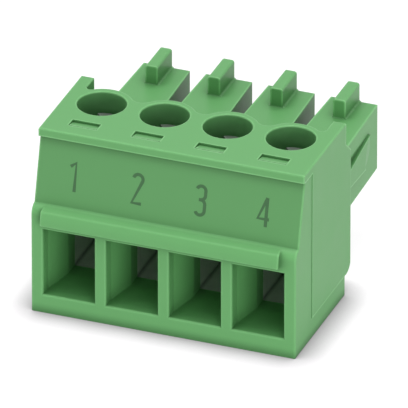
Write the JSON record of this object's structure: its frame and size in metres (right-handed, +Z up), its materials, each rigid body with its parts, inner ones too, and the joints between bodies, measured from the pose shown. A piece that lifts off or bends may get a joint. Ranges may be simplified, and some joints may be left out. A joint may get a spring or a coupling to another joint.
{
  "type": "pluggable terminal block",
  "caption": "Green pluggable terminal block: a moulded plug whose screws raise metal sleeves that clamp the wires, with fingers at the back that push onto a pin header.",
  "frame": {"origin": "on the base, under the middle of the plug's box", "axes": "+X along the row of poles, +Y back towards the pin header, +Z up along the screws"},
  "size_m": [0.016, 0.016, 0.0111],
  "materials": {
    "housing": "satin moulded green plastic",
    "sleeve": "plated sheet, dull",
    "screw": "zinc plated, slightly dull",
    "contact": "tin plated, satin"
  },
  "bodies": {
    "housing": {"front_frame": "housing", "rear_housing": "housing", "contact_1": "contact", "contact_2": "contact", "contact_3": "contact", "contact_4": "contact"},
    "screw_1": {"clamp_screw_1": "screw"},
    "sleeve_1": {"tension_sleeve_1": "sleeve"},
    "screw_2": {"clamp_screw_2": "screw"},
    "sleeve_2": {"tension_sleeve_2": "sleeve"},
    "screw_3": {"clamp_screw_3": "screw"},
    "sleeve_3": {"tension_sleeve_3": "sleeve"},
    "screw_4": {"clamp_screw_4": "screw"},
    "sleeve_4": {"tension_sleeve_4": "sleeve"}
  },
  "joints": [
    {"name": "screw_turn_1", "type": "hinge", "parent": "housing", "child": "screw_1", "pos_m": [-0.00571, -0.00237, 0.009], "axis": [0, 0, -1], "range_deg": [0, 2160]},
    {"name": "sleeve_rise_1", "type": "slide", "parent": "housing", "child": "sleeve_1", "axis": [0, 0, 1], "range_m": [0, 0.0024]},
    {"name": "screw_turn_2", "type": "hinge", "parent": "housing", "child": "screw_2", "pos_m": [-0.00191, -0.00237, 0.009], "axis": [0, 0, -1], "range_deg": [0, 2160]},
    {"name": "sleeve_rise_2", "type": "slide", "parent": "housing", "child": "sleeve_2", "axis": [0, 0, 1], "range_m": [0, 0.0024]},
    {"name": "screw_turn_3", "type": "hinge", "parent": "housing", "child": "screw_3", "pos_m": [0.00191, -0.00237, 0.009], "axis": [0, 0, -1], "range_deg": [0, 2160]},
    {"name": "sleeve_rise_3", "type": "slide", "parent": "housing", "child": "sleeve_3", "axis": [0, 0, 1], "range_m": [0, 0.0024]},
    {"name": "screw_turn_4", "type": "hinge", "parent": "housing", "child": "screw_4", "pos_m": [0.00571, -0.00237, 0.009], "axis": [0, 0, -1], "range_deg": [0, 2160]},
    {"name": "sleeve_rise_4", "type": "slide", "parent": "housing", "child": "sleeve_4", "axis": [0, 0, 1], "range_m": [0, 0.0024]}
  ],
  "couplings": [
    {"joint": "screw_turn_1", "follows": "sleeve_rise_1", "rad_per_m": 15708},
    {"joint": "screw_turn_2", "follows": "sleeve_rise_2", "rad_per_m": 15708},
    {"joint": "screw_turn_3", "follows": "sleeve_rise_3", "rad_per_m": 15708},
    {"joint": "screw_turn_4", "follows": "sleeve_rise_4", "rad_per_m": 15708}
  ]
}
